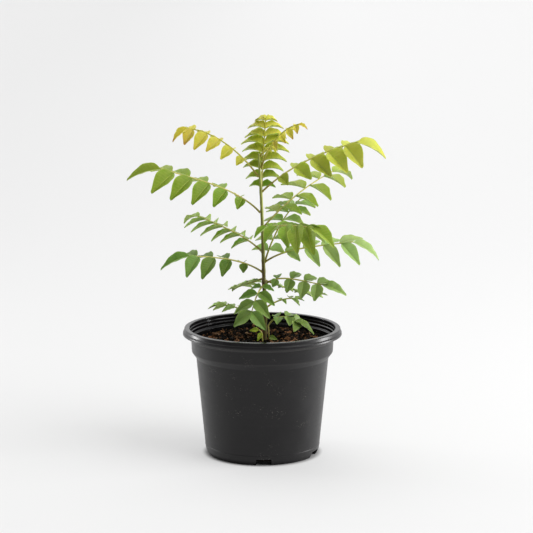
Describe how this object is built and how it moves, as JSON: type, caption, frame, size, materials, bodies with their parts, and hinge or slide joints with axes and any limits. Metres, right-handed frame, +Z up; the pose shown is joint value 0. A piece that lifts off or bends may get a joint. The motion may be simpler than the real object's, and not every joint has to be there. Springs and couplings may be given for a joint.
{
  "type": "potted curry leaf plant",
  "caption": "Young curry leaf plant with arched feather-shaped fronds on a thin stem, rooted in bark soil in a round black nursery pot.",
  "frame": {"origin": "centre of the pot's flat underside, on the surface the pot stands on", "axes": "+Z up along the pot's axis; -Y towards the front, the side the lowest big frond hangs over; +X to the right seen from the front"},
  "size_m": [0.2554, 0.1676, 0.338],
  "materials": {
    "pot_plastic": "satin black polypropylene, light dust",
    "soil": "dark peat with composted bark chips",
    "stem_bark": "thin bark, brown at the soil and olive green above",
    "leaf_old": "mature leaf, dark green, slightly waxy",
    "leaf_green": "full-grown leaf, mid green, slightly waxy",
    "leaf_new": "new growth, yellow with orange-brown tips"
  },
  "bodies": {
    "root": {"pot": "pot_plastic", "soil": "soil", "stem": "stem_bark", "small_shoot": "leaf_green", "side_shoot": "leaf_old", "frond_01": "leaf_old", "frond_02": "leaf_old", "frond_03": "leaf_old", "frond_04": "leaf_old", "frond_05": "leaf_old", "frond_06": "leaf_old", "frond_07": "leaf_old", "frond_08": "leaf_old", "frond_09": "leaf_green", "frond_10": "leaf_green", "frond_11": "leaf_green", "frond_12": "leaf_green", "frond_13": "leaf_green", "frond_14": "leaf_green", "frond_15": "leaf_green", "frond_16": "leaf_new", "frond_17": "leaf_new", "frond_18": "leaf_new"}
  },
  "joints": []
}
